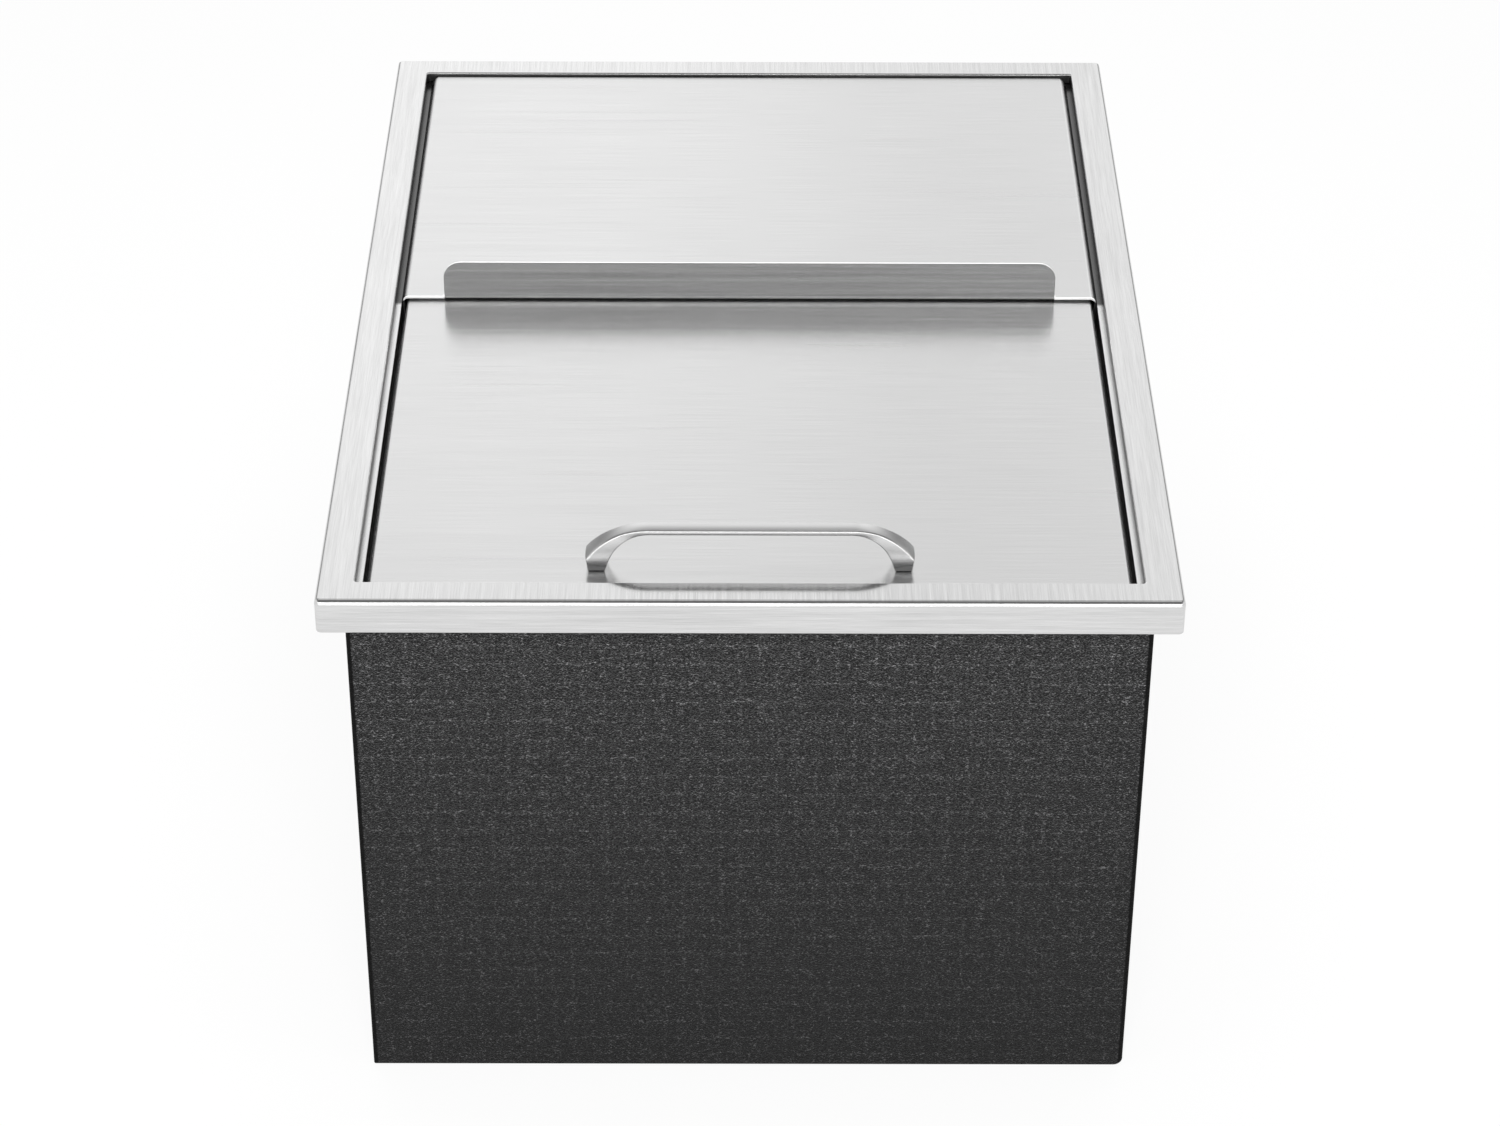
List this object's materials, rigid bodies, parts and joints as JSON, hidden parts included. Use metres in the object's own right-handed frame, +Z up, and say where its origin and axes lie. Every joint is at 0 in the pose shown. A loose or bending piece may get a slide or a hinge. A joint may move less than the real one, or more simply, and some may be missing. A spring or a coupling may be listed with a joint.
{
  "type": "drop in ice bin",
  "caption": "Insulated stainless ice bin that drops into a worktop, with a bow-handled front cover sliding under a lift-out rear cover, a black casing and a floor drain.",
  "frame": {"origin": "middle of the flat base, below the centre of the rim", "axes": "+Z up, the handle side towards -Y, +X to the right as seen from the front"},
  "size_m": [0.453, 0.61, 0.3515],
  "materials": {
    "brushed_stainless": "long-grain brushed stainless sheet",
    "tub_stainless": "drawn stainless sheet, dull",
    "handle_steel": "satin stainless",
    "polished_steel": "polished",
    "zinc_plate": "zinc plated steel",
    "black_embossed_sheet": "black leather-grain embossed coated sheet",
    "black_rivet": "black blind rivet",
    "black_plastic": "moulded black plastic",
    "black_rubber": "black rubber",
    "insulating_foam": "rigid foam, cream"
  },
  "bodies": {
    "bin": {"rim_frame": "brushed_stainless", "left_cover_track": "brushed_stainless", "right_cover_track": "brushed_stainless", "front_cover_track": "brushed_stainless", "rear_cover_track": "brushed_stainless", "ice_tub": "tub_stainless", "foam_insulation": "insulating_foam", "casing_shell": "black_embossed_sheet", "front_panel": "black_embossed_sheet", "back_panel": "black_embossed_sheet", "back_rivet_1": "black_rivet", "back_rivet_2": "black_rivet", "back_rivet_3": "black_rivet", "back_rivet_4": "black_rivet", "back_rivet_5": "black_rivet", "back_rivet_6": "black_rivet", "drain_well_sleeve": "black_plastic", "drain_body": "polished_steel", "drain_strainer": "polished_steel", "drain_seal": "black_rubber", "drain_washer": "black_plastic", "drain_lock_nut": "black_plastic"},
    "front_cover": {"front_cover_panel": "brushed_stainless", "cover_handle": "handle_steel", "handle_screw_left": "zinc_plate", "handle_screw_right": "zinc_plate", "handle_washer_left": "zinc_plate", "handle_washer_right": "zinc_plate"},
    "rear_cover": {"rear_cover_panel": "brushed_stainless"},
    "stopper": {"drain_stopper": "black_rubber", "stopper_ring": "polished_steel"}
  },
  "joints": [
    {"name": "front_cover_slide", "type": "slide", "parent": "bin", "child": "front_cover", "axis": [0, 1, 0], "range_m": [0, 0.254]},
    {"name": "rear_cover_lift", "type": "slide", "parent": "bin", "child": "rear_cover", "axis": [0, 0, 1], "range_m": [0, 0.06]},
    {"name": "stopper_lift", "type": "slide", "parent": "bin", "child": "stopper", "axis": [0, 0, 1], "range_m": [0, 0.06]}
  ]
}
